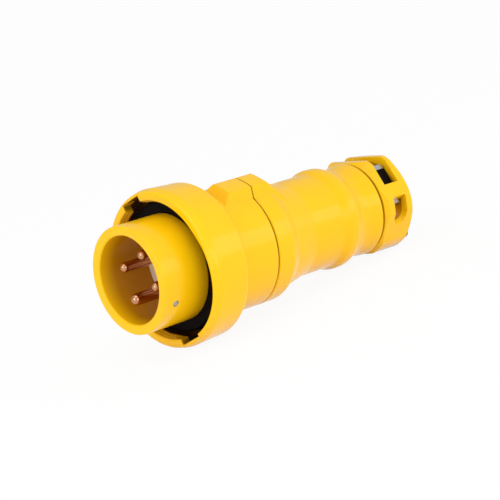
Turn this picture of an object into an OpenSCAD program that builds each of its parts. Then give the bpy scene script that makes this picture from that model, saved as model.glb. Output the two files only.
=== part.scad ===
// Round power plug: four contact pins in a deep sleeve, a turning bayonet ring,
// a straight handle and a hexagonal cable gland with a two-screw cord clamp.
// The plug lies along X: the pins face -X and the cord leaves towards +X.
// The origin is the centre of the contact sleeve's rim.
// A roll is an angle about X, from +Z at 0 towards -Y.

/* [Contact sleeve] */
// Bore radius of the contact sleeve
sleeve_bore_r = 20.4; // [19.6:0.1:21]
// Wall of the contact sleeve
sleeve_wall = 4.6; // [3.8:0.1:5]
// Depth of the contact space, from the rim to the carrier's face
contact_depth = 28.7; // [28:0.1:30]
// Rounding of the rim's outer edge
rim_outer_round = 0.6; // [0.3:0.1:2]
// Rounding of the rim's inner edge
rim_inner_round = 1.2; // [0.6:0.1:1.6]
// Radius of the steel coding dowel
dowel_r = 1.5; // [1:0.1:1.6]
// Distance of the coding dowel from the rim
dowel_set_back = 6.9; // [5:0.1:12]

/* [Face gasket and flange] */
// Distance from the rim to the face gasket
gasket_depth = 25.5; // [25:0.5:26.5]
// Thickness of the face gasket
gasket_t = 4.5; // [3:0.5:5]
// Depth of the seat round the sleeve that the gasket sits in
gasket_seat = 0.4; // [0.2:0.1:0.8]
// Outer radius of the gasket and of the flange behind it
flange_r = 30.4; // [29.9:0.1:30.6]
// Thickness of the flange
flange_t = 6; // [5:0.5:7]
// Radius of the bearing that the ring turns on
journal_r = 24.5; // [24.3:0.1:24.8]

/* [Contacts] */
// Radius of the three phase pins
pin_r = 2.4; // [2.2:0.1:2.8]
// Radius of the earth pin
earth_pin_r = 2.8; // [2.5:0.1:3.2]
// Radius of the circle that the pins stand on
pin_circle_r = 11; // [10.5:0.1:11.2]
// Height of the collar that seats a pin in the carrier
pin_collar = 0.4; // [0.2:0.1:0.6]
// Distance of the phase pins' tips behind the rim
tip_depth = 5.1; // [3:0.1:8]
// Distance of the earth pin's tip behind the rim
earth_tip_depth = 3.5; // [2:0.1:6]
// Radius of a pin's wire barrel
barrel_r = 3.8; // [3.6:0.1:3.9]
// Length of a pin's wire barrel
barrel_len = 18; // [16:0.5:19]
// Radius of the hole for the wire
wire_r = 1.9; // [1.6:0.1:2.1]
// Depth of the hole for the wire
wire_depth = 10; // [8:0.5:11]
// Radius of a terminal screw
terminal_screw_r = 1.5; // [1.2:0.1:1.7]

/* [Carrier] */
// Thickness of the carrier's flange
carrier_flange_t = 6; // [5:0.5:7]
// Length of the carrier's front boss, which fills the end of the sleeve's bore
carrier_front_t = 3; // [2:0.5:4]
// Radius of the carrier's rear boss
carrier_rear_r = 15.9; // [15.6:0.1:16.2]
// Length of the carrier's rear boss
carrier_rear_t = 7; // [5:0.5:8]
// Depth to which the wire barrels sit in the carrier's rear
barrel_seat = 9; // [7:0.5:10]
// Step in the housing's bore that the carrier's flange seats on
carrier_step = 0.7; // [0.5:0.1:0.9]
// Thickness of the ring nut that holds the carrier
lock_ring_t = 3; // [2:0.5:4]

/* [Coupling ring] */
// Distance of the ring's front face behind the sleeve's rim
ring_set_back = 18.8; // [18:0.1:20]
// Length of the ring, front face to rear face
ring_len = 46.4; // [45:0.1:48]
// Length of the ring's wide band
band_len = 21.7; // [20.5:0.1:22.5]
// Radius of the band's crown
crown_r = 37; // [36.8:0.1:38]
// Drop from the crown to the front lip's outside
lip_drop = 0.6; // [0.2:0.1:1]
// Drop from the crown to the band's rear edge
band_drop = 0.8; // [0.3:0.1:1.2]
// Height of the front lip, from its bore to the level of the crown
lip_h = 5.1; // [4.9:0.1:5.5]
// Thickness of the front lip
lip_t = 4.6; // [4:0.2:5]
// Depth of the lobe that widens the lip's opening
lobe_depth = 3.2; // [2.6:0.1:3.3]
// Amount by which a lobe's curve is tighter than the lip's bore
lobe_tightness = 2.1; // [1.5:0.1:3.5]
// Steps in which the opening narrows from the front to the back of the lip
bore_steps = 3; // [1:1:3]
// Width of such a step
bore_step = 0.4; // [0.2:0.1:0.5]
// Rounding of the opening's front edge
mouth_edge_round = 1.1; // [0.5:0.1:1.2]
// Wall outside the bayonet groove, up to the level of the crown
groove_wall = 2.5; // [2.2:0.1:2.6]
// Width of an entry notch in the lip
notch_w = 13; // [10:0.5:14]
// Wall outside an entry notch, up to the level of the crown
notch_wall = 2.4; // [2.2:0.1:2.7]
// Outer radius of the collar behind the band
collar_r = 29; // [28.6:0.1:29.6]
// Turn of the ring from open to locked, in degrees
ring_turn = 40; // [20:1:50]
// Half angle of a stop lug, in degrees
stop_half_angle = 9; // [6:1:12]
// Height of a stop lug above the journal
stop_h = 2.3; // [1.5:0.1:2.6]
// Length of a stop lug
stop_len = 3.5; // [2.5:0.1:4]

/* [Index hump] */
// Roll of the index hump, the pins and the notches
front_roll = 23; // [0:1:45]
// Radius of the hump's top
hump_r = 33; // [32.2:0.1:33.6]
// Half width of the hump's top
hump_top_half = 5.2; // [4:0.1:6]
// Half width of the hump at its foot
hump_foot_half = 9.4; // [7.8:0.1:10.2]
// Length of the hump's flat top ahead of the seam
hump_front_len = 13.4; // [11:0.2:15]
// Length of the hump's flat top behind the seam
hump_rear_len = 9; // [7:0.2:10]
// Length of the hump's front slope
hump_front_slope = 3.6; // [2.4:0.1:4.4]
// Length of the hump's rear slope
hump_rear_slope = 8.5; // [7:0.1:10]

/* [Handle] */
// Gap at the seam between ring and handle
seam_gap = 0.6; // [0.4:0.1:0.9]
// Length of the collar behind the seam
collar_len = 8.5; // [8:0.5:10]
// Length of the shoulder behind the collar
shoulder_len = 8.8; // [8:0.2:10]
// Radius where the shoulder meets the taper
shoulder_r = 25.5; // [25.1:0.1:25.8]
// Length of the taper down to the neck
taper_len = 12; // [10:0.5:14]
// Radius of the neck
neck_r = 23; // [22.6:0.1:23.4]
// Length of the neck
neck_len = 17.9; // [16:0.1:20]
// Length of the rise to the grip bulge
bulge_rise = 5.5; // [4.5:0.1:8]
// Radius of the grip bulge
bulge_r = 24.6; // [24:0.1:25.4]
// Length of the bulge's crown
bulge_len = 2.5; // [1.5:0.1:4]
// Length of the fall behind the bulge
bulge_fall = 8.5; // [7:0.1:10]
// Radius of the dip behind the bulge
dip_r = 21.8; // [21.4:0.1:22.2]
// Length of the dip
dip_len = 2.4; // [1:0.2:3]
// Length of the flare from the dip to the tail end
flare_len = 9; // [8:0.2:11]
// Radius of the tail end and of the gland nut's front
tail_r = 22.8; // [22.4:0.1:23.2]
// Length of the spigot inside the handle
spigot_len = 12.7; // [11:0.1:14]
// Radius of the spigot inside the handle
spigot_r = 23.4; // [23.1:0.1:23.7]
// Radius of the wiring space inside the handle
chamber_r = 19; // [18:0.1:19.4]
// Cross section radius of the handle's seal ring
o_ring_r = 1.05; // [0.9:0.05:1.1]

/* [Cable seal] */
// Radius of the gland's bore for the cable
cable_bore_r = 8; // [7.6:0.1:8.4]
// Bore radius of the rubber grommet
grommet_bore_r = 6.8; // [5:0.1:8]
// Length of the rubber grommet
grommet_len = 13.5; // [11:0.5:14.5]
// Radius of the seat bore in the tail
seat_r = 17.4; // [17:0.1:17.8]
// Thickness of the web that the grommet seats on
seat_web = 3; // [2:0.5:4]
// Depth of the grommet's seat below the handle's tail end
seat_depth = 29; // [27:0.5:30]
// Thickness of the thrust washer
washer_t = 1.5; // [1:0.1:2]

/* [Gland nut] */
// Gap between the handle's tail end and the gland nut
nut_gap = 1.2; // [0.8:0.1:1.6]
// Length of the nut's hexagon
nut_len = 19; // [18.5:0.5:21]
// Width of the hexagon across its flats
hex_flats = 45.5; // [44.5:0.5:47]
// Radius of the hexagon's rounded corners
hex_corner_r = 24.8; // [24.2:0.1:25.2]
// Shift of the corners' rounding towards the clamp's open side
hex_corner_shift = 0.9; // [0:0.1:1]
// Length of the cone at the nut's front
nut_front_cone = 3; // [2:0.5:5]
// Chamfer at the nut's rear edge
nut_rear_chamfer = 2.6; // [1.6:0.1:2.8]
// Roll of the cord clamp
clamp_roll = -30; // [-30:60:30]
// Radius of the recessed end disc
disc_r = 16.3; // [15.8:0.1:16.5]
// Thickness of the end disc
disc_t = 3; // [2:0.2:3.4]
// Radius of the mouth's rounding in the end disc
mouth_round = 1.8; // [1:0.1:1.9]

/* [Cord clamp] */
// Distance of the clamp screws from the front of the nut
clamp_set_back = 9.6; // [9.2:0.1:10]
// Width of the clamp's slot along the plug
slot_len = 9.2; // [8.8:0.1:9.6]
// Depth of the slot's floor below the middle
slot_floor = 1; // [0.6:0.1:2]
// Distance of a clamp screw from the plug's axis
clamp_screw_y = 16.8; // [16.4:0.1:17.2]
// Radius of the clamp screws
clamp_screw_r = 1.75; // [1.5:0.05:1.9]
// Radius of the clamp screws' heads
clamp_head_r = 3.2; // [2.8:0.1:3.6]
// Thickness of the clamp screws' heads
clamp_head_t = 2; // [1.6:0.1:2.4]
// Height of the seat for the heads, below the middle
head_seat = 8.5; // [8.2:0.1:9.4]
// Radius of the recess round a head
head_recess_r = 4.1; // [3.8:0.1:4.5]
// Width of the square nuts
square_nut_w = 6.6; // [6:0.1:7.4]
// Thickness of the square nuts
square_nut_t = 2.4; // [2:0.1:3]
// Height of the jaw's ears
jaw_ear_h = 7.8; // [6.5:0.1:8]
// Bore radius of the jaw's arch
jaw_bore_r = 8.6; // [8.5:0.1:8.8]
// Thickness of the jaw's arch
jaw_arch_t = 2.8; // [2.4:0.1:3]
// Distance of the end disc's screws from the axis
end_screw_at = 18.9; // [18.8:0.1:19.2]
// Turn of the end disc's screws from the hexagon's corners, in degrees
end_screw_turn = -3; // [-8:1:0]
// Radius of the end disc's screws
end_screw_r = 2; // [1.6:0.1:2.1]
// Radius of their heads
end_head_r = 3.8; // [3.4:0.1:4.2]
// Thickness of their heads
end_head_t = 2.5; // [2:0.1:3]
// Length of their shanks
end_screw_len = 3.8; // [3:0.1:4.2]

/* [Fits] */
// Radial clearance of the turning ring on its journal
run_fit = 0.08; // [0.05:0.01:0.1]
// Radial clearance of pieces that slide together when assembled
slide_fit = 0.1; // [0.06:0.01:0.14]
// Free gap between the turning ring and the fixed pieces
ring_play = 0.3; // [0.25:0.05:0.4]

/* [Hidden] */

ROUND = 96;     // facets of large round surfaces
SMALL = 48;     // facets of small round surfaces
STEPS = 8;      // steps of a smooth blend
eps = 0.01;     // small overlap of two joined shapes
over = 1;       // length by which a cut or a foot runs past a face

yellow = "#f7c92b";
dark_rubber = "#17161a";
pale_plastic = "#d9d3cf";
copper = "#b8794a";
steel = "#b9bcc2";

sleeve_r = sleeve_bore_r + sleeve_wall;
dowel_web = 1;                               // wall left below the dowel's blind hole
dowel_floor_r = sleeve_bore_r + dowel_web;
gasket_seat_r = sleeve_r - gasket_seat;
flange_x = gasket_depth + gasket_t;
flange_end = flange_x + flange_t;
rear_bore_r = sleeve_bore_r + carrier_step;
carrier_seat_x = contact_depth + carrier_front_t;
carrier_flange_end = carrier_seat_x + carrier_flange_t;
carrier_end = carrier_flange_end + carrier_rear_t;
barrel_x = carrier_end - barrel_seat;
barrel_end = barrel_x + barrel_len;
terminal_x = barrel_end - wire_depth / 2;

ring_rear = ring_set_back + ring_len;
handle_x = ring_rear + seam_gap;
lip_end = ring_set_back + lip_t;
lip_outer_r = crown_r - lip_drop;
lip_bore_r = crown_r - lip_h;
band_rear_r = crown_r - band_drop;
groove_r = crown_r - groove_wall;
notch_r = crown_r - notch_wall;
lobe_r = lip_bore_r - lobe_tightness;
groove_end = gasket_depth + gasket_t;
web_x = flange_end + ring_play;
cavity_r = flange_r + ring_play;
ring_bore_r = journal_r + run_fit;
stop_r = journal_r + stop_h;
stop_pocket_r = stop_r + ring_play;
stop_play = 0.7;                             // angle left at each end of a stop, degrees
band_end = ring_set_back + band_len;
band_round = 2.6;                            // rounding of the band's rear edge
lip_round = 1.8;                             // rounding of the lip's front edge
crown_rise = 2.4;                            // length of the rise from the lip to the crown
crown_x = ring_set_back + lip_round + crown_rise;
collar_fillet = 2.4;                         // fillet where the band meets the collar
rear_lean = 10;                              // lean of the band's rear face, in degrees
hump_foot_r = shoulder_r - over;

collar_x = handle_x + collar_len;
shoulder_x = collar_x + shoulder_len;
taper_x = shoulder_x + taper_len;
neck_x = taper_x + neck_len;
bulge_x = neck_x + bulge_rise;
crest_x = bulge_x + bulge_len;
dip_x = crest_x + bulge_fall;
flare_x = dip_x + dip_len;
tail_x = flare_x + flare_len;
spigot_end = handle_x + spigot_len;
seal_gap = 0.05;                             // free space round the seal ring
o_ring_centre_r = spigot_r + o_ring_r + seal_gap;
o_ring_x = handle_x + o_ring_r + seal_gap;
o_ring_pocket_r = o_ring_centre_r + o_ring_r + seal_gap;
o_ring_pocket_end = o_ring_x + o_ring_r + seal_gap;

nut_x = tail_x + nut_gap;
nut_end = nut_x + nut_len;
seat_x = tail_x - seat_depth;
web_ease = 1;                                // extra radius of the hole in the grommet's web
washer_x = seat_x + grommet_len;
spigot_tip_x = washer_x + washer_t;
hex_half = hex_flats / 2;
clamp_x = nut_x + clamp_set_back;
disc_x = nut_end - disc_t;
jaw_lift = 0.5;                              // height of the open jaw's ears above the middle
ear_wall = 0.7;                              // wall of the jaw's ears outside the screws
jaw_half = clamp_screw_y + clamp_screw_r + ear_wall;
jaw_ear_top = jaw_lift + jaw_ear_h;
screw_stick_out = 1.1;                       // end of a clamp screw above its square nut
slot_w = 1;                                  // width of a screwdriver slot
slot_depth = 1;                              // depth of a screwdriver slot
edge_chamfer = 0.5;                          // small chamfer on moulded edges

pin_rolls = [for (k = [0:3]) front_roll - 90 * k];
notch_turn = -44;                            // turn of the first notch from the hump, degrees
lobe_turn = 135;                             // turn of the lobe from the first notch, degrees
dowel_turn = 95;                             // turn of the dowel from the hump, degrees
notch_rolls = [front_roll + notch_turn, front_roll + notch_turn + 180];
lobe_roll = notch_rolls[0] + lobe_turn;
stop_rolls = [front_roll + 90, front_roll - 90];
dowel_roll = front_roll + dowel_turn;

// Points of a smooth step from one [x, r] to another
function ease(a, b) = [for (i = [0:STEPS]) let (t = i / STEPS)
    [a[0] + (b[0] - a[0]) * t, a[1] + (b[1] - a[1]) * t * t * (3 - 2 * t)]];

// Points of an arc in the [x, r] plane
function arc(x, r, rad, a0, a1) = [for (i = [0:STEPS]) let (a = a0 + (a1 - a0) * i / STEPS)
    [x + rad * cos(a), r + rad * sin(a)]];

// Solid of revolution about X from points [x, r]
module lathe(points) {
    rotate([0, 90, 0])
        rotate_extrude($fn = ROUND)
            polygon([for (p = points) [p[1], p[0]]]);
}

// Round bar along X
module bar_x(x0, x1, r, fn = ROUND) {
    translate([x0, 0, 0])
        rotate([0, 90, 0])
            cylinder(h = x1 - x0, r = r, $fn = fn);
}

// Part of a tube about X between two rolls
module sector(x0, x1, r0, r1, roll0, roll1) {
    rotate([roll0 + 180, 0, 0])
        rotate([0, 90, 0])
            rotate_extrude(angle = roll1 - roll0, $fn = ROUND)
                translate([r0, x0])
                    square([r1 - r0, x1 - x0]);
}

// Index hump between two stations, drawn on the ring and on the handle
module hump(x0, x1, foot_r) {
    flat_start = ring_rear - hump_front_len;
    flat_end = handle_x + hump_rear_len;
    front_foot = flat_start - hump_front_slope;
    rear_foot = flat_end + hump_rear_slope;
    top = hump_r + over;
    flank = (hump_foot_half - hump_top_half) / (hump_r - hump_foot_r);
    foot_half = hump_top_half + flank * (hump_r - foot_r);
    intersection() {
        rotate([front_roll, 0, 0])
            intersection() {
                translate([x0, 0, 0])
                    rotate([90, 0, 90])
                        linear_extrude(height = x1 - x0)
                            polygon([[-foot_half, foot_r], [foot_half, foot_r],
                                     [hump_top_half, hump_r], [hump_top_half, top],
                                     [-hump_top_half, top], [-hump_top_half, hump_r]]);
                rotate([90, 0, 0])
                    linear_extrude(height = 4 * hump_foot_half, center = true)
                        polygon([[front_foot, foot_r - over], [front_foot, collar_r - over],
                                 [flat_start, hump_r], [flat_start, top],
                                 [flat_end, top], [flat_end, hump_r],
                                 [rear_foot, hump_foot_r], [rear_foot, foot_r - over]]);
            }
        bar_x(x0 - over, x1 + over, hump_r);
    }
}

module contact_sleeve() {
    profile = concat(
        [[carrier_seat_x, sleeve_bore_r]],
        arc(rim_inner_round, sleeve_bore_r + rim_inner_round, rim_inner_round, 270, 180),
        arc(rim_outer_round, sleeve_r - rim_outer_round, rim_outer_round, 180, 90),
        [[gasket_depth, sleeve_r], [gasket_depth, gasket_seat_r], [flange_x, gasket_seat_r],
         [flange_x, flange_r], [flange_end, flange_r],
         [flange_end, journal_r], [handle_x, journal_r], [handle_x, spigot_r],
         [spigot_end, spigot_r], [spigot_end, rear_bore_r], [carrier_seat_x, rear_bore_r]]);
    color(yellow)
        difference() {
            union() {
                lathe(profile);
                for (roll = stop_rolls)
                    sector(flange_end - over, flange_end + stop_len, journal_r - over, stop_r,
                           roll - stop_half_angle, roll + stop_half_angle);
            }
            rotate([dowel_roll, 0, 0])
                translate([dowel_set_back, 0, dowel_floor_r])
                    cylinder(h = sleeve_wall, r = dowel_r, $fn = SMALL);
        }
}

module coding_dowel() {
    dome = 0.3;
    inset = 0.1;
    length = sleeve_r - dowel_floor_r - inset;
    color(steel)
        rotate([dowel_roll, 0, 0])
            translate([dowel_set_back, 0, dowel_floor_r]) {
                cylinder(h = length - dome, r = dowel_r, $fn = SMALL);
                translate([0, 0, length - dome])
                    cylinder(h = dome, r1 = dowel_r, r2 = dowel_r - dome, $fn = SMALL);
            }
}

module pin_carrier() {
    front_r = sleeve_bore_r - slide_fit;
    flange = rear_bore_r - slide_fit;
    color(pale_plastic)
        difference() {
            lathe([[contact_depth, 0], [contact_depth, front_r], [carrier_seat_x, front_r],
                   [carrier_seat_x, flange], [carrier_flange_end, flange],
                   [carrier_flange_end, carrier_rear_r], [carrier_end, carrier_rear_r],
                   [carrier_end, 0]]);
            for (k = [0:3])
                rotate([pin_rolls[k], 0, 0])
                    translate([0, 0, pin_circle_r]) {
                        bar_x(contact_depth - over, carrier_end,
                              contact_r(k) + pin_collar + slide_fit / 2, SMALL);
                        bar_x(barrel_x, carrier_end + over, barrel_r + slide_fit, SMALL);
                    }
        }
}

module carrier_lock_ring() {
    slot = 3;
    color(pale_plastic)
        difference() {
            lathe([[carrier_flange_end, carrier_rear_r + slide_fit],
                   [carrier_flange_end, rear_bore_r - slide_fit],
                   [carrier_flange_end + lock_ring_t, rear_bore_r - slide_fit],
                   [carrier_flange_end + lock_ring_t, carrier_rear_r + slide_fit]]);
            translate([carrier_flange_end + lock_ring_t / 2, -slot / 2, -rear_bore_r])
                cube([lock_ring_t, slot, 2 * rear_bore_r]);
        }
}

// The third place holds the thicker earth pin
function contact_r(k) = k == 2 ? earth_pin_r : pin_r;

// Contact pin with its wire barrel behind the carrier
module contact_pin(k) {
    r = contact_r(k);
    tip_share = 0.95;
    tip = tip_share * r;
    tip_x = k == 2 ? earth_tip_depth : tip_depth;
    color(copper)
        rotate([pin_rolls[k], 0, 0])
            translate([0, 0, pin_circle_r])
                difference() {
                    lathe(concat([[tip_x, 0]],
                                 arc(tip_x + tip, r - tip, tip, 180, 90),
                                 [[contact_depth, r], [contact_depth, r + pin_collar],
                                  [barrel_x, r + pin_collar], [barrel_x, barrel_r],
                                  [barrel_end, barrel_r], [barrel_end, 0]]));
                    bar_x(barrel_end - wire_depth, barrel_end + over, wire_r, SMALL);
                    translate([terminal_x, 0, 0])
                        cylinder(h = barrel_r + over, r = terminal_screw_r + slide_fit / 2, $fn = SMALL);
                }
}

module phase_pin_1() { contact_pin(0); }
module phase_pin_2() { contact_pin(1); }
module phase_pin_3() { contact_pin(3); }
module earth_pin() { contact_pin(2); }

// Slotted grub screw in the side of a wire barrel
module terminal_screw(k) {
    foot_lift = 0.2;
    stand_out = 1.2;
    foot = wire_r + foot_lift;
    height = barrel_r + stand_out - foot;
    color(steel)
        rotate([pin_rolls[k], 0, 0])
            translate([terminal_x, 0, pin_circle_r + foot])
                difference() {
                    cylinder(h = height, r = terminal_screw_r, $fn = SMALL);
                    translate([-terminal_screw_r - over, -slot_w / 4, height - slot_depth])
                        cube([2 * (terminal_screw_r + over), slot_w / 2, slot_depth + over]);
                }
}

module phase_screw_1() { terminal_screw(0); }
module phase_screw_2() { terminal_screw(1); }
module phase_screw_3() { terminal_screw(3); }
module earth_screw() { terminal_screw(2); }

module face_gasket() {
    bead = 0.7;
    bore_r = gasket_seat_r + slide_fit;
    color(dark_rubber)
        lathe([[gasket_depth + gasket_seat, bore_r], [gasket_depth, sleeve_r + slide_fit],
               [gasket_depth, flange_r - bead],
               [gasket_depth + bead, flange_r], [flange_x, flange_r], [flange_x, bore_r]]);
}

module coupling_ring() {
    outer = concat(
        arc(ring_set_back + mouth_edge_round, lip_bore_r + mouth_edge_round, mouth_edge_round, 270, 180),
        arc(ring_set_back + lip_round, lip_outer_r - lip_round, lip_round, 180, 90),
        ease([ring_set_back + lip_round, lip_outer_r], [crown_x, crown_r]),
        arc(band_end - band_round, band_rear_r - band_round, band_round, 90, rear_lean),
        arc(band_end + collar_fillet, collar_r + collar_fillet, collar_fillet, 180 + rear_lean, 270),
        [[ring_rear - edge_chamfer, collar_r], [ring_rear, collar_r - edge_chamfer]]);
    inner = [[ring_rear, ring_bore_r], [web_x, ring_bore_r], [web_x, cavity_r],
             [groove_end, cavity_r], [groove_end, groove_r], [lip_end, groove_r]];
    bore = [for (i = [bore_steps - 1:-1:0], end = [1, 0])
        [ring_set_back + max(mouth_edge_round, lip_t * (i + end) / bore_steps), lip_bore_r - bore_step * i]];
    color(yellow)
        difference() {
            union() {
                lathe(concat(outer, inner, bore));
                hump(band_end, ring_rear, (ring_bore_r + collar_r) / 2);
            }
            for (roll = notch_rolls)
                rotate([roll, 0, 0])
                    translate([ring_set_back - over, -notch_w / 2, 0])
                        cube([lip_t + over + ring_play, notch_w, notch_r]);
            for (i = [1:bore_steps])
                rotate([lobe_roll, 0, 0])
                    translate([0, 0, lip_bore_r + lobe_depth - bore_step * (i - 1) - lobe_r])
                        bar_x(ring_set_back - over, ring_set_back + ring_play + lip_t * i / bore_steps, lobe_r);
            for (roll = stop_rolls)
                sector(web_x - over, flange_end + stop_len + ring_play, ring_bore_r - over, stop_pocket_r,
                       roll - stop_half_angle - stop_play,
                       roll + stop_half_angle + stop_play + ring_turn);
        }
}

module handle_seal_ring() {
    color(dark_rubber)
        rotate([0, 90, 0])
            rotate_extrude($fn = ROUND)
                translate([o_ring_centre_r, o_ring_x])
                    circle(r = o_ring_r, $fn = SMALL);
}

module handle() {
    outer = concat(
        [[handle_x, collar_r - edge_chamfer], [handle_x + edge_chamfer, collar_r]],
        ease([collar_x, collar_r], [shoulder_x, shoulder_r]),
        [[taper_x, neck_r]],
        ease([neck_x, neck_r], [bulge_x, bulge_r]),
        ease([crest_x, bulge_r], [dip_x, dip_r]),
        ease([flare_x, dip_r], [tail_x - edge_chamfer, tail_r]),
        [[tail_x, tail_r - edge_chamfer], [tail_x, 0], [handle_x, 0]]);
    color(yellow)
        difference() {
            union() {
                lathe(outer);
                hump(handle_x, shoulder_x + hump_rear_slope, chamber_r + 2 * over);
            }
            bar_x(handle_x - over, o_ring_pocket_end, o_ring_pocket_r);
            bar_x(handle_x - over, spigot_end, spigot_r + slide_fit);
            bar_x(handle_x, seat_x - seat_web, chamber_r);
            bar_x(handle_x, tail_x, cable_bore_r + web_ease);
            bar_x(seat_x, tail_x + over, seat_r);
        }
}

module cable_grommet() {
    outer_r = seat_r - slide_fit;
    lead = 1.5;
    color(dark_rubber)
        lathe([[seat_x, grommet_bore_r + lead], [seat_x, outer_r - lead], [seat_x + lead, outer_r],
               [washer_x, outer_r], [washer_x, grommet_bore_r + lead],
               [washer_x - lead, grommet_bore_r], [seat_x + lead, grommet_bore_r]]);
}

module thrust_washer() {
    color(steel)
        lathe([[washer_x, cable_bore_r], [washer_x, seat_r - slide_fit],
               [spigot_tip_x, seat_r - slide_fit], [spigot_tip_x, cable_bore_r]]);
}

// Hexagon with flats across local Y and rounded corners
module hexagon_2d() {
    intersection() {
        rotate(30)
            circle(r = hex_half / cos(30), $fn = 6);
        translate([0, hex_corner_shift])
            circle(r = hex_corner_r, $fn = ROUND);
    }
}

// Places of the two clamp screws, in the clamp's own frame
module at_clamp_screw(side) {
    rotate([clamp_roll, 0, 0])
        translate([clamp_x, side * clamp_screw_y, 0])
            children();
}

// Places of the end disc's screws, at two corners of the hexagon
module at_end_screw(side) {
    rotate([clamp_roll + end_screw_turn, 0, 0])
        translate([nut_end, 0, side * end_screw_at])
            rotate([0, 90, 0])
                children();
}

module gland_nut() {
    spigot = seat_r - slide_fit;
    color(yellow)
        difference() {
            union() {
                intersection() {
                    rotate([clamp_roll, 0, 0])
                        translate([nut_x, 0, 0])
                            rotate([90, 0, 90])
                                linear_extrude(height = nut_len)
                                    hexagon_2d();
                    lathe([[nut_x, 0], [nut_x, tail_r - edge_chamfer], [nut_x + edge_chamfer, tail_r],
                           [nut_x + nut_front_cone, hex_corner_r + hex_corner_shift],
                           [nut_end - nut_rear_chamfer, hex_corner_r + hex_corner_shift],
                           [nut_end, hex_corner_r - nut_rear_chamfer], [nut_end, 0]]);
                }
                bar_x(spigot_tip_x, nut_x + over, spigot);
            }
            bar_x(spigot_tip_x - over, nut_end + over, cable_bore_r);
            bar_x(disc_x, nut_end + over, disc_r + slide_fit);
            rotate([clamp_roll, 0, 0])
                translate([clamp_x - slot_len / 2, -hex_flats, -slot_floor])
                    cube([slot_len, 2 * hex_flats, hex_flats]);
            for (side = [-1, 1]) {
                at_clamp_screw(side) {
                    translate([0, 0, -head_seat - over])
                        cylinder(h = head_seat + over, r = clamp_screw_r + slide_fit, $fn = SMALL);
                    translate([0, 0, -hex_flats])
                        cylinder(h = hex_flats - head_seat, r = head_recess_r, $fn = SMALL);
                    translate([-head_recess_r, side > 0 ? 0 : -hex_flats, -hex_flats])
                        cube([2 * head_recess_r, hex_flats, hex_flats - head_seat]);
                }
                at_end_screw(side)
                    translate([0, 0, -end_screw_len])
                        cylinder(h = end_screw_len + over, r = end_screw_r + slide_fit, $fn = SMALL);
            }
        }
}

// Saddle that the two screws pull down on the cord
module clamp_jaw() {
    width = slot_len - 2 * slide_fit;
    arch_r = jaw_bore_r + jaw_arch_t;
    color(dark_rubber)
        rotate([clamp_roll, 0, 0])
            difference() {
                translate([clamp_x - width / 2, 0, 0])
                    rotate([90, 0, 90])
                        linear_extrude(height = width)
                            difference() {
                                union() {
                                    intersection() {
                                        circle(r = arch_r, $fn = ROUND);
                                        translate([-arch_r, jaw_lift])
                                            square([2 * arch_r, arch_r]);
                                    }
                                    translate([-jaw_half, jaw_lift])
                                        square([2 * jaw_half, jaw_ear_h]);
                                }
                                circle(r = jaw_bore_r, $fn = ROUND);
                            }
                for (side = [-1, 1])
                    translate([clamp_x, side * clamp_screw_y, 0])
                        cylinder(h = jaw_ear_top + over, r = clamp_screw_r + slide_fit, $fn = SMALL);
            }
}

module clamp_screw(side) {
    top = jaw_ear_top + square_nut_t + screw_stick_out;
    color(steel)
        at_clamp_screw(side)
            difference() {
                union() {
                    translate([0, 0, -head_seat - eps])
                        cylinder(h = head_seat + top + eps, r = clamp_screw_r, $fn = SMALL);
                    translate([0, 0, -head_seat - clamp_head_t])
                        cylinder(h = clamp_head_t, r = clamp_head_r, $fn = SMALL);
                }
                translate([-clamp_head_r - over, -slot_w / 2, -head_seat - clamp_head_t - over])
                    cube([2 * (clamp_head_r + over), slot_w, slot_depth + over]);
            }
}

module clamp_screw_1() { clamp_screw(-1); }
module clamp_screw_2() { clamp_screw(1); }

module clamp_nut(side) {
    color(steel)
        at_clamp_screw(side)
            translate([0, 0, jaw_ear_top])
                difference() {
                    translate([-square_nut_w / 2, -square_nut_w / 2, 0])
                        cube([square_nut_w, square_nut_w, square_nut_t]);
                    translate([0, 0, -over])
                        cylinder(h = square_nut_t + 2 * over, r = clamp_screw_r + slide_fit / 2, $fn = SMALL);
                }
}

module clamp_nut_1() { clamp_nut(-1); }
module clamp_nut_2() { clamp_nut(1); }

module end_disc() {
    color(yellow)
        lathe(concat([[disc_x, cable_bore_r], [disc_x, disc_r], [nut_end, disc_r]],
                     arc(nut_end - mouth_round, cable_bore_r + mouth_round, mouth_round, 0, -90)));
}

module end_screw(side) {
    color(steel)
        at_end_screw(side)
            difference() {
                union() {
                    translate([0, 0, -end_screw_len])
                        cylinder(h = end_screw_len + eps, r = end_screw_r, $fn = SMALL);
                    cylinder(h = end_head_t, r = end_head_r, $fn = SMALL);
                }
                translate([-end_head_r - over, -slot_w / 2, end_head_t - slot_depth])
                    cube([2 * (end_head_r + over), slot_w, slot_depth + over]);
            }
}

module end_screw_1() { end_screw(-1); }
module end_screw_2() { end_screw(1); }

contact_sleeve();
coding_dowel();
pin_carrier();
carrier_lock_ring();
phase_pin_1();
phase_pin_2();
phase_pin_3();
earth_pin();
phase_screw_1();
phase_screw_2();
phase_screw_3();
earth_screw();
face_gasket();
coupling_ring();
handle_seal_ring();
handle();
cable_grommet();
thrust_washer();
gland_nut();
clamp_jaw();
clamp_screw_1();
clamp_screw_2();
clamp_nut_1();
clamp_nut_2();
end_disc();
end_screw_1();
end_screw_2();
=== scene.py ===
"""Looks of a round power plug: moulded shells, seals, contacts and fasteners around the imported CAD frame."""

import math

import bmesh
import bpy
from mathutils import Matrix, Vector

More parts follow.
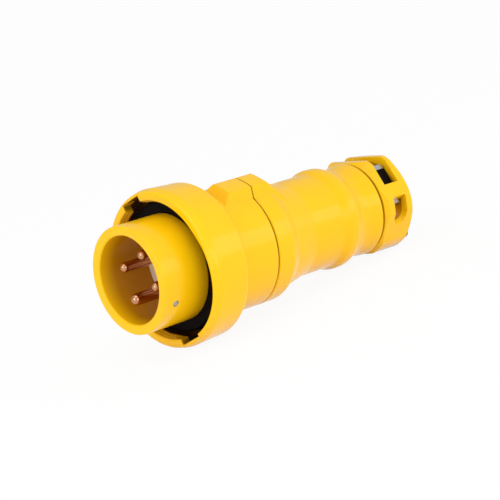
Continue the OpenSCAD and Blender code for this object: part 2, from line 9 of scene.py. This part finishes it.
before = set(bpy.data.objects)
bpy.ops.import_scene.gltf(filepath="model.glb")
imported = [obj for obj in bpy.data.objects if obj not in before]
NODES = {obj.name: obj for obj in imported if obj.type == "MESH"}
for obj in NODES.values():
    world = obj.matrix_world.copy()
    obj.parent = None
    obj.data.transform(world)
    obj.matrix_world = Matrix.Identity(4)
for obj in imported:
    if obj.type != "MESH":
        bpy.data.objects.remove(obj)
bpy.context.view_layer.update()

bl_info = {
    "name": "Bayonet power plug",
    "version": (1, 0, 0),
    "blender": (4, 5, 0),
    "location": "View3D > Sidebar > Plug",
    "description": "Dresses the CAD frame of a round power plug and sets up its studio",
    "category": "Add Mesh",
}

MM = 0.001

# Where painted shade darkens the shells: depths run back from the sleeve's rim, radii out from the plug's axis
BORE_SHADE_DEPTHS = (0.0, 9.0 * MM)         # painted shade browns the sleeve's bore from the first down to the second
BORE_RADII = (20.5 * MM, 20.7 * MM)     # just outside the wall of that bore
LIP_DEPTHS = (18.9 * MM, 19.6 * MM)     # just behind the front face of the coupling ring's lip
GROOVE_DEPTHS = (23.0 * MM, 23.6 * MM)  # where the lip ends and the ring's groove begins
NOTCH_RADII = (31.4 * MM, 33.2 * MM)    # from the lip's bore out into its notches
GROOVE_SHADE_RADII = (28.5 * MM, 34.75 * MM)  # take in the ring's lip and groove
GROOVE_SHADE_END = 33.0 * MM                  # depth behind which the ring has no painted shade

# How much of the painted shade's colour covers the yellow, at most
SEAM_SHADE = 0.7
SLOT_SHADE = 0.22
BORE_SHADE = 0.65
LIP_SHADE = 0.2
NOTCH_SHADE = 0.75

# The plug lies on the rear edge of its ring's wide band and on the end of a flat of the gland nut
RING_FOOT = Vector((38.35, 0, -36.16)) * MM
NUT_FOOT = Vector((160.69, 0, -22.75)) * MM
FLOOR_REACH = 12.0      # metres from the floor's middle to its sides
FLOOR_WHITE = 0.93      # share of plain white that a camera sees in the floor

# The lamps face this point, near the middle of the plug
MIDDLE = Vector((0.075, 0, 0))

# The room's light rises from the first of these strengths to the second towards its bright side
ROOM_LEVELS = (0.58, 0.92)
BRIGHT_SIDE = (-0.15, -0.95, 0.05)

# The camera's place, the point that it looks at, and its roll about its line of sight
CAMERA_PLACE = Vector((-0.52511, -0.70014, 0.14390))
CAMERA_AIM = Vector((0.07312, 0, -0.00378))
CAMERA_ROLL = math.radians(-10.328)
SENSOR_WIDTH = 36       # millimetres


def linear(code):
    """Linear RGB of an sRGB hex colour."""
    parts = [int(code[i:i + 2], 16) / 255 for i in (1, 3, 5)]
    return tuple(p / 12.92 if p <= 0.04045 else ((p + 0.055) / 1.055) ** 2.4 for p in parts)


def add(tree, kind, inputs=None, **settings):
    """Adds a shader node, sets its properties, and fills or links its inputs."""
    made = tree.nodes.new(kind)
    for key, value in settings.items():
        setattr(made, key, value)
    for key, value in (inputs or {}).items():
        if isinstance(value, bpy.types.NodeSocket):
            tree.links.new(value, made.inputs[key])
        else:
            made.inputs[key].default_value = value
    return made


class PlugColours(bpy.types.PropertyGroup):
    """Colours of the plug's materials."""

    shell: bpy.props.FloatVectorProperty(
        name="Shell", description="Yellow of the moulded shells",
        subtype="COLOR", size=3, min=0, max=1, default=linear("#FBC60C"))
    shell_deep: bpy.props.FloatVectorProperty(
        name="Shell, deep", description="Deeper yellow of the shells' flow marks",
        subtype="COLOR", size=3, min=0, max=1, default=linear("#F8BF06"))
    # Painted shade: the brown that darkens seams and recesses
    crease_shade: bpy.props.FloatVectorProperty(
        name="Crease_shade", description="Brown of the dust in seams and recesses",
        subtype="COLOR", size=3, min=0, max=1, default=linear("#6B4000"))
    # Painted shade: the orange brown that darkens the sleeve's bore, deep inside
    bore_shade: bpy.props.FloatVectorProperty(
        name="Bore_shade", description="Orange brown of the sleeve's bore, deep inside",
        subtype="COLOR", size=3, min=0, max=1, default=linear("#9C4A00"))
    # Painted shade: the dark brown that darkens the coupling ring's groove, lip and notches
    groove_shade: bpy.props.FloatVectorProperty(
        name="Groove_shade", description="Dark brown of the old grease in the coupling ring's groove and lip",
        subtype="COLOR", size=3, min=0, max=1, default=linear("#4A2C06"))
    rubber: bpy.props.FloatVectorProperty(
        name="Rubber", description="Black of the seals and of the clamp jaw",
        subtype="COLOR", size=3, min=0, max=1, default=linear("#080505"))
    carrier: bpy.props.FloatVectorProperty(
        name="Carrier", description="Pale cream of the insulating carrier",
        subtype="COLOR", size=3, min=0, max=1, default=linear("#FBECD6"))
    copper: bpy.props.FloatVectorProperty(
        name="Contacts", description="Copper tone of the contact pins",
        subtype="COLOR", size=3, min=0, max=1, default=linear("#C89270"))
    steel: bpy.props.FloatVectorProperty(
        name="Fasteners", description="Grey of the plated screws, nuts, washer and dowel",
        subtype="COLOR", size=3, min=0, max=1, default=linear("#BABBBE"))
    browned: bpy.props.FloatVectorProperty(
        name="End screws", description="Grey brown of the screws at the tail",
        subtype="COLOR", size=3, min=0, max=1, default=linear("#6E6058"))


class PlugSizes(bpy.types.PropertyGroup):
    """Edge rounding, lens and lamp powers, which only the looks use."""

    edge: bpy.props.FloatProperty(
        name="Edge rounding", description="Rounding of the shells' moulded edges",
        subtype="DISTANCE", unit="LENGTH", min=0.0001, max=0.002, default=0.0006)
    lens: bpy.props.FloatProperty(
        name="Lens", description="Focal length of the camera, in millimetres",
        unit="CAMERA", min=35, max=300, default=144)
    key_power: bpy.props.FloatProperty(
        name="Key light", description="Power of the large soft light beside the handle, on the -Y side",
        unit="POWER", min=0, max=200, default=3.9)
    fill_power: bpy.props.FloatProperty(
        name="Fill light", description="Power of the soft light beside the sleeve, on the -Y side",
        unit="POWER", min=0, max=200, default=0.84)
    top_power: bpy.props.FloatProperty(
        name="Top light", description="Power of the soft light above and before the sleeve",
        unit="POWER", min=0, max=200, default=0.405)
    front_power: bpy.props.FloatProperty(
        name="Front light", description="Power of the soft light that faces the pins",
        unit="POWER", min=0, max=200, default=1.08)


def colours():
    """The scene's colour settings."""
    return bpy.context.scene.plug_colours


def sizes():
    """The scene's settings of edges, lens and lamps."""
    return bpy.context.scene.plug_sizes


def empty_material(name):
    """The node material of this name, new or emptied, and its tree."""
    made = bpy.data.materials.get(name) or bpy.data.materials.new(name)
    made.use_nodes = True
    made.node_tree.nodes.clear()
    return made, made.node_tree


def flow_marks(tree, place):
    """Yellow of the shells, with the faint streaks that the melt leaves as it fills the mould."""
    # The streaks are about 14 mm wide and drawn out to 60 mm along the plug
    along = add(tree, "ShaderNodeMapping", {"Vector": place,
                                            "Scale": (1 / (60 * MM), 1 / (14 * MM), 1 / (14 * MM))})
    flow = add(tree, "ShaderNodeTexNoise", {"Vector": along.outputs[0], "Scale": 1.0, "Detail": 3.0})
    tint = add(tree, "ShaderNodeMix", {"Factor": flow.outputs["Fac"], "A": (*colours().shell_deep, 1),
                                       "B": (*colours().shell, 1)}, data_type="RGBA")
    return tint.outputs["Result"]


def shaded_in_creases(tree, tint):
    """The tint, with painted shade that browns seams and recesses."""
    # Painted shade in seams, where the next piece is within about 2.5 mm
    seam = add(tree, "ShaderNodeAmbientOcclusion", {"Distance": 2.5 * MM}, samples=8)
    seam = add(tree, "ShaderNodeMapRange", {"Value": seam.outputs["AO"], "From Min": 0.2, "From Max": 0.6,
                                            "To Min": SEAM_SHADE, "To Max": 0.0})
    # Painted shade also darkens a piece's own slots and holes, up to about 12 mm wide
    slot = add(tree, "ShaderNodeAmbientOcclusion", {"Distance": 12 * MM}, samples=8, only_local=True)
    slot = add(tree, "ShaderNodeMapRange", {"Value": slot.outputs["AO"], "From Min": 0.2, "From Max": 0.7,
                                            "To Min": SLOT_SHADE, "To Max": 0.0})
    painted_shade = add(tree, "ShaderNodeMath", {0: seam.outputs[0], 1: slot.outputs[0]}, operation="MAXIMUM")
    made = add(tree, "ShaderNodeMix", {"Factor": painted_shade.outputs[0], "A": tint,
                                       "B": (*colours().crease_shade, 1)}, data_type="RGBA")
    return made.outputs["Result"]


def shaded_deep_in_bore(tree, tint, depth, radius):
    """The tint, with painted shade that browns the sleeve's bore, more and more with depth."""
    depth_shade = add(tree, "ShaderNodeMapRange", {"Value": depth, "From Min": BORE_SHADE_DEPTHS[0],
                                            "From Max": BORE_SHADE_DEPTHS[1], "To Max": BORE_SHADE})
    bore = add(tree, "ShaderNodeMapRange", {"Value": radius, "From Min": BORE_RADII[1],
                                            "From Max": BORE_RADII[0]})
    bore_shade = add(tree, "ShaderNodeMath", {0: depth_shade.outputs[0], 1: bore.outputs[0]}, operation="MULTIPLY")
    made = add(tree, "ShaderNodeMix", {"Factor": bore_shade.outputs[0], "A": tint,
                                       "B": (*colours().bore_shade, 1)}, data_type="RGBA")
    return made.outputs["Result"]


def shaded_in_ring_groove(tree, tint, depth, radius):
    """The tint, with painted shade that darkens the coupling ring's groove, and less so its notches and lip.
    """
    lip = add(tree, "ShaderNodeMapRange", {"Value": depth, "From Min": LIP_DEPTHS[0],
                                           "From Max": LIP_DEPTHS[1]})
    notch = add(tree, "ShaderNodeMapRange", {"Value": radius, "From Min": NOTCH_RADII[0],
                                             "From Max": NOTCH_RADII[1],
                                             "To Min": LIP_SHADE, "To Max": NOTCH_SHADE})
    groove = add(tree, "ShaderNodeMapRange", {"Value": depth, "From Min": GROOVE_DEPTHS[0],
                                              "From Max": GROOVE_DEPTHS[1]})
    outside = add(tree, "ShaderNodeMath", {0: radius, 1: GROOVE_SHADE_RADII[0]}, operation="GREATER_THAN")
    inside = add(tree, "ShaderNodeMath", {0: radius, 1: GROOVE_SHADE_RADII[1]}, operation="LESS_THAN")
    before = add(tree, "ShaderNodeMath", {0: depth, 1: GROOVE_SHADE_END}, operation="LESS_THAN")
    groove_shade = add(tree, "ShaderNodeMath", {0: notch.outputs[0], 1: groove.outputs[0]}, operation="MAXIMUM")
    for share in (lip, inside, outside, before):
        groove_shade = add(tree, "ShaderNodeMath", {0: groove_shade.outputs[0], 1: share.outputs[0]},
                     operation="MULTIPLY")
    made = add(tree, "ShaderNodeMix", {"Factor": groove_shade.outputs[0], "A": tint,
                                       "B": (*colours().groove_shade, 1)}, data_type="RGBA")
    return made.outputs["Result"]


def moulded_polyamide():
    """Glass-filled polyamide, injection moulded: satin gloss, faint flow marks and grain, gloss patches from
    handling, and painted shade in seams, recesses, the sleeve's bore and the ring's groove.
    """
    made, tree = empty_material("moulded_polyamide_yellow")
    place = add(tree, "ShaderNodeTexCoord").outputs["Object"]
    depth = add(tree, "ShaderNodeSeparateXYZ", {0: place}).outputs["X"]
    flat = add(tree, "ShaderNodeVectorMath", {0: place, 1: (0, 1, 1)}, operation="MULTIPLY")
    radius = add(tree, "ShaderNodeVectorMath", {0: flat.outputs[0]}, operation="LENGTH").outputs["Value"]
    tint = flow_marks(tree, place)
    # Painted shade in seams, slots, the sleeve's bore and the coupling ring's groove
    tint = shaded_in_creases(tree, tint)
    tint = shaded_deep_in_bore(tree, tint, depth, radius)
    tint = shaded_in_ring_groove(tree, tint, depth, radius)
    # Handling leaves patches of slightly different gloss, about 9 mm across
    patch = add(tree, "ShaderNodeTexNoise", {"Vector": place, "Scale": 1 / (9 * MM), "Detail": 2.0})
    gloss = add(tree, "ShaderNodeMapRange", {"Value": patch.outputs["Fac"], "From Min": 0.3, "From Max": 0.7,
                                             "To Min": 0.15, "To Max": 0.21})
    # The eroded grain of the mould is under 0.1 mm; it is drawn at 0.5 mm so that it shows
    grain = add(tree, "ShaderNodeTexNoise", {"Vector": place, "Scale": 1 / (0.5 * MM), "Detail": 2.0})
    # Moulded edges and corners are rounded
    edges = add(tree, "ShaderNodeBevel", {"Radius": sizes().edge}, samples=6)
    bump = add(tree, "ShaderNodeBump", {"Height": grain.outputs["Fac"], "Strength": 0.04,
                                        "Distance": 0.05 * MM, "Normal": edges.outputs["Normal"]})
    skin = add(tree, "ShaderNodeBsdfPrincipled", {"Base Color": tint, "Roughness": gloss.outputs["Result"],
                                                  "Normal": bump.outputs["Normal"], "IOR": 1.53,
                                                  "Specular IOR Level": 0.22})
    add(tree, "ShaderNodeOutputMaterial", {"Surface": skin.outputs["BSDF"]})
    return made


def moulded_rubber():
    """Black chloroprene rubber, compression moulded: dull, with a dusty bloom."""
    made, tree = empty_material("moulded_rubber_black")
    place = add(tree, "ShaderNodeTexCoord").outputs["Object"]
    # Bloom lies in patches about 5 mm across
    bloom = add(tree, "ShaderNodeTexNoise", {"Vector": place, "Scale": 1 / (5 * MM), "Detail": 3.0})
    pale = tuple(min(1, c * 1.7 + 0.001) for c in colours().rubber)
    tint = add(tree, "ShaderNodeMix", {"Factor": bloom.outputs["Fac"], "A": (*colours().rubber, 1),
                                       "B": (*pale, 1)}, data_type="RGBA")
    dull = add(tree, "ShaderNodeMapRange", {"Value": bloom.outputs["Fac"], "From Min": 0.3, "From Max": 0.7,
                                            "To Min": 0.55, "To Max": 0.75})
    bump = add(tree, "ShaderNodeBump", {"Height": bloom.outputs["Fac"], "Strength": 0.1,
                                        "Distance": 0.1 * MM})
    skin = add(tree, "ShaderNodeBsdfPrincipled", {"Base Color": tint.outputs["Result"],
                                                  "Roughness": dull.outputs["Result"],
                                                  "Normal": bump.outputs["Normal"], "IOR": 1.52,
                                                  "Specular IOR Level": 0.06})
    add(tree, "ShaderNodeOutputMaterial", {"Surface": skin.outputs["BSDF"]})
    return made


def moulded_thermoset():
    """Mineral-filled thermoset, compression moulded: pale cream and matte, with fine dark filler specks."""
    made, tree = empty_material("moulded_thermoset_cream")
    place = add(tree, "ShaderNodeTexCoord").outputs["Object"]
    # Filler specks are about 0.7 mm across
    specks = add(tree, "ShaderNodeTexNoise", {"Vector": place, "Scale": 1 / (0.7 * MM), "Detail": 2.0})
    share = add(tree, "ShaderNodeMapRange", {"Value": specks.outputs["Fac"],
                                             "From Min": 0.55, "From Max": 0.75})
    dark = tuple(c * 0.82 for c in colours().carrier)
    tint = add(tree, "ShaderNodeMix", {"Factor": share.outputs["Result"], "A": (*colours().carrier, 1),
                                       "B": (*dark, 1)}, data_type="RGBA")
    skin = add(tree, "ShaderNodeBsdfPrincipled", {"Base Color": tint.outputs["Result"], "Roughness": 0.5,
                                                  "IOR": 1.55})
    add(tree, "ShaderNodeOutputMaterial", {"Surface": skin.outputs["BSDF"]})
    return made


def turned_copper():
    """Copper alloy, turned from bar: bright, with rings left by the tool and a slight brown tarnish."""
    made, tree = empty_material("turned_copper_alloy")
    place = add(tree, "ShaderNodeTexCoord").outputs["Object"]
    # Tool rings run round the pins every 0.3 mm along X; they are drawn at about 1.2 mm so that they show.
    # A wave of scale 1 repeats 20 times in a length of two pi.
    rings = add(tree, "ShaderNodeTexWave", {"Vector": place, "Scale": math.tau / 20 / (1.184 * MM),
                                            "Distortion": 0.4}, wave_type="BANDS", bands_direction="X")
    # Tarnish gathers in patches about 3 mm across
    tarnish = add(tree, "ShaderNodeTexNoise", {"Vector": place, "Scale": 1 / (3 * MM), "Detail": 3.0})
    brown = tuple(c * f for c, f in zip(colours().copper, (0.92, 0.86, 0.8)))
    tint = add(tree, "ShaderNodeMix", {"Factor": tarnish.outputs["Fac"], "A": (*colours().copper, 1),
                                       "B": (*brown, 1)}, data_type="RGBA")
    shine = add(tree, "ShaderNodeMapRange", {"Value": tarnish.outputs["Fac"],
                                             "From Min": 0.3, "From Max": 0.7,
                                             "To Min": 0.09, "To Max": 0.14})
    bump = add(tree, "ShaderNodeBump", {"Height": rings.outputs["Fac"], "Strength": 0.03,
                                        "Distance": 0.05 * MM})
    skin = add(tree, "ShaderNodeBsdfPrincipled", {"Base Color": tint.outputs["Result"], "Metallic": 1.0,
                                                  "Roughness": shine.outputs["Result"],
                                                  "Normal": bump.outputs["Normal"]})
    add(tree, "ShaderNodeOutputMaterial", {"Surface": skin.outputs["BSDF"]})
    return made


def plated_steel(name, colour):
    """Steel, zinc plated or browned: a soft metal sheen, with the cloudy grain of its coat."""
    made, tree = empty_material(name)
    place = add(tree, "ShaderNodeTexCoord").outputs["Object"]
    # Clouds of the coat are about 1.5 mm across
    cloud = add(tree, "ShaderNodeTexNoise", {"Vector": place, "Scale": 1 / (1.5 * MM), "Detail": 4.0})
    dim = tuple(c * 0.72 for c in colour)
    tint = add(tree, "ShaderNodeMix", {"Factor": cloud.outputs["Fac"], "A": (*colour, 1),
                                       "B": (*dim, 1)}, data_type="RGBA")
    shine = add(tree, "ShaderNodeMapRange", {"Value": cloud.outputs["Fac"], "From Min": 0.3, "From Max": 0.7,
                                             "To Min": 0.25, "To Max": 0.4})
    skin = add(tree, "ShaderNodeBsdfPrincipled", {"Base Color": tint.outputs["Result"], "Metallic": 1.0,
                                                  "Roughness": shine.outputs["Result"]})
    add(tree, "ShaderNodeOutputMaterial", {"Surface": skin.outputs["BSDF"]})
    return made


def dress(material, *names):
    """Gives CAD nodes a material."""
    for name in names:
        NODES[name].data.materials.clear()
        NODES[name].data.materials.append(material)


class PLUG_OT_shells(bpy.types.Operator):
    """Yellow moulded shells: sleeve, coupling ring, handle, gland nut and end disc"""

    bl_idname = "plug.shells"
    bl_label = "Moulded shells"

    def execute(self, context):
        dress(moulded_polyamide(), "contact_sleeve", "coupling_ring", "handle", "gland_nut", "end_disc")
        return {"FINISHED"}


class PLUG_OT_seals(bpy.types.Operator):
    """Black rubber: face gasket, seal ring, grommet and clamp jaw"""

    bl_idname = "plug.seals"
    bl_label = "Seals and jaw"

    def execute(self, context):
        dress(moulded_rubber(), "face_gasket", "handle_seal_ring", "cable_grommet", "clamp_jaw")
        return {"FINISHED"}


class PLUG_OT_contacts(bpy.types.Operator):
    """Carrier with its lock ring, and the contact pins"""

    bl_idname = "plug.contacts"
    bl_label = "Carrier and contacts"

    def execute(self, context):
        dress(moulded_thermoset(), "pin_carrier", "carrier_lock_ring")
        dress(turned_copper(), "phase_pin_1", "phase_pin_2", "phase_pin_3", "earth_pin")
        return {"FINISHED"}


class PLUG_OT_fasteners(bpy.types.Operator):
    """Plated screws, nuts, washer and dowel, and the browned end screws"""

    bl_idname = "plug.fasteners"
    bl_label = "Fasteners"

    def execute(self, context):
        dress(plated_steel("zinc_plated_steel", colours().steel), "coding_dowel", "thrust_washer",
              "phase_screw_1", "phase_screw_2", "phase_screw_3", "earth_screw",
              "clamp_screw_1", "clamp_screw_2", "clamp_nut_1", "clamp_nut_2")
        dress(plated_steel("browned_steel", colours().browned), "end_screw_1", "end_screw_2")
        return {"FINISHED"}


def white_to_camera(tree, lit, strength):
    """White for camera, glossy and transmission rays, mixed with the lit surface that keeps the shadow."""
    path = add(tree, "ShaderNodeLightPath")
    seen = add(tree, "ShaderNodeMath", {0: path.outputs["Is Camera Ray"], 1: path.outputs["Is Glossy Ray"]},
               operation="MAXIMUM")
    seen = add(tree, "ShaderNodeMath", {0: seen.outputs[0], 1: path.outputs["Is Transmission Ray"]},
               operation="MAXIMUM")
    share = add(tree, "ShaderNodeMath", {0: seen.outputs[0], 1: strength}, operation="MULTIPLY")
    white = add(tree, "ShaderNodeEmission", {"Color": (1, 1, 1, 1), "Strength": 1.0})
    return add(tree, "ShaderNodeMixShader", {0: share.outputs[0], 1: lit, 2: white.outputs[0]})


def matt_paint():
    """Matt white wall paint, put on with a roller: faint marks of slightly different white."""
    made, tree = empty_material("matt_white_paint")
    place = add(tree, "ShaderNodeTexCoord").outputs["Object"]
    # Roller marks are about 30 mm across
    marks = add(tree, "ShaderNodeTexNoise", {"Vector": place, "Scale": 1 / (30 * MM)})
    tint = add(tree, "ShaderNodeMix", {"Factor": marks.outputs["Fac"], "A": (*linear("#F6F6F6"), 1),
                                       "B": (*linear("#F9F9F9"), 1)}, data_type="RGBA")
    lit = add(tree, "ShaderNodeBsdfDiffuse", {"Color": tint.outputs["Result"]})
    out = white_to_camera(tree, lit.outputs[0], FLOOR_WHITE)
    add(tree, "ShaderNodeOutputMaterial", {"Surface": out.outputs[0]})
    return made


def lay_floor(scene):
    """Pale floor, sloped so that it touches both feet of the lying plug."""
    slope = math.atan2(NUT_FOOT.z - RING_FOOT.z, NUT_FOOT.x - RING_FOOT.x)
    bm = bmesh.new()
    bmesh.ops.create_grid(bm, x_segments=8, y_segments=8, size=FLOOR_REACH)
    bmesh.ops.rotate(bm, verts=bm.verts, cent=(0, 0, 0), matrix=Matrix.Rotation(-slope, 3, "Y"))
    bmesh.ops.translate(bm, verts=bm.verts, vec=RING_FOOT)
    mesh = bpy.data.meshes.new("floor")
    bm.to_mesh(mesh)
    bm.free()
    mesh.materials.append(matt_paint())
    floor = bpy.data.objects.new("floor", mesh)
    scene.collection.objects.link(floor)


def light_room(scene):
    """Soft light of a pale room, brightest on the plug's -Y side and dimmest on its +Y side."""
    world = bpy.data.worlds.new("studio")
    scene.world = world
    world.use_nodes = True
    tree = world.node_tree
    tree.nodes.clear()
    way = add(tree, "ShaderNodeTexCoord").outputs["Generated"]
    side = add(tree, "ShaderNodeVectorMath", {0: way, 1: BRIGHT_SIDE}, operation="DOT_PRODUCT")
    level = add(tree, "ShaderNodeMapRange", {"Value": side.outputs["Value"],
                                             "From Min": -0.7, "From Max": 0.4,
                                             "To Min": ROOM_LEVELS[0], "To Max": ROOM_LEVELS[1]})
    sky = add(tree, "ShaderNodeBackground", {"Color": (1, 1, 1, 1), "Strength": level.outputs["Result"]})
    add(tree, "ShaderNodeOutputWorld", {"Surface": sky.outputs[0]})


def hang_lamps(scene):
    """Soft boxes that face the plug: the way to each, its distance, width and height, and its power."""
    for name, toward, away, width, height, power in (
            ("key_softbox", (0.642, -0.751, 0.18), 1.5, 1.33, 0.7, sizes().key_power),
            ("fill_softbox", (-0.2, -1.0, 0.02), 0.6, 0.35, 0.35, sizes().fill_power),
            ("top_softbox", (-0.55, -0.2, 0.8), 0.5, 0.35, 0.35, sizes().top_power),
            ("front_softbox", (-0.98, 0.05, 0.15), 0.8, 0.3, 0.3, sizes().front_power)):
        data = bpy.data.lights.new(name, "AREA")
        data.shape = "RECTANGLE"
        data.size, data.size_y = width, height
        data.energy = power
        lamp = bpy.data.objects.new(name, data)
        lamp.location = MIDDLE + Vector(toward).normalized() * away
        lamp.rotation_mode = "QUATERNION"
        lamp.rotation_quaternion = (MIDDLE - lamp.location).to_track_quat("-Z", "Y")
        scene.collection.objects.link(lamp)


def set_camera(scene):
    """Camera at the photograph's viewing angle and roll."""
    data = bpy.data.cameras.new("camera")
    data.sensor_width = SENSOR_WIDTH
    data.lens = sizes().lens
    data.clip_start, data.clip_end = 0.05, 20
    camera = bpy.data.objects.new("camera", data)
    turn = (CAMERA_AIM - CAMERA_PLACE).to_track_quat("-Z", "Y").to_matrix().to_4x4()
    camera.matrix_world = Matrix.Translation(CAMERA_PLACE) @ turn @ Matrix.Rotation(CAMERA_ROLL, 4, "Z")
    scene.collection.objects.link(camera)
    scene.camera = camera


class PLUG_OT_stage(bpy.types.Operator):
    """Pale floor, soft studio light and the camera"""

    bl_idname = "plug.stage"
    bl_label = "Stage"

    def execute(self, context):
        context.scene.view_settings.view_transform = "Standard"
        lay_floor(context.scene)
        light_room(context.scene)
        hang_lamps(context.scene)
        set_camera(context.scene)
        return {"FINISHED"}


class PLUG_PT_panel(bpy.types.Panel):
    """Sidebar panel with the plug's settings and operators"""

    bl_idname = "PLUG_PT_panel"
    bl_label = "Bayonet power plug"
    bl_space_type = "VIEW_3D"
    bl_region_type = "UI"
    bl_category = "Plug"

    def draw(self, context):
        for group in (context.scene.plug_colours, context.scene.plug_sizes):
            for key in group.bl_rna.properties.keys():
                if key not in ("rna_type", "name"):
                    self.layout.prop(group, key)
        for operator in OPERATORS:
            self.layout.operator(operator.bl_idname)


OPERATORS = (PLUG_OT_shells, PLUG_OT_seals, PLUG_OT_contacts, PLUG_OT_fasteners, PLUG_OT_stage)
CLASSES = (PlugColours, PlugSizes, *OPERATORS, PLUG_PT_panel)


def register():
    for cls in CLASSES:
        bpy.utils.register_class(cls)
    bpy.types.Scene.plug_colours = bpy.props.PointerProperty(type=PlugColours)
    bpy.types.Scene.plug_sizes = bpy.props.PointerProperty(type=PlugSizes)


def unregister():
    del bpy.types.Scene.plug_sizes
    del bpy.types.Scene.plug_colours
    for cls in reversed(CLASSES):
        bpy.utils.unregister_class(cls)


def main():
    register()
    bpy.ops.plug.shells()
    bpy.ops.plug.seals()
    bpy.ops.plug.contacts()
    bpy.ops.plug.fasteners()
    bpy.ops.plug.stage()


if __name__ == "__main__":
    main()
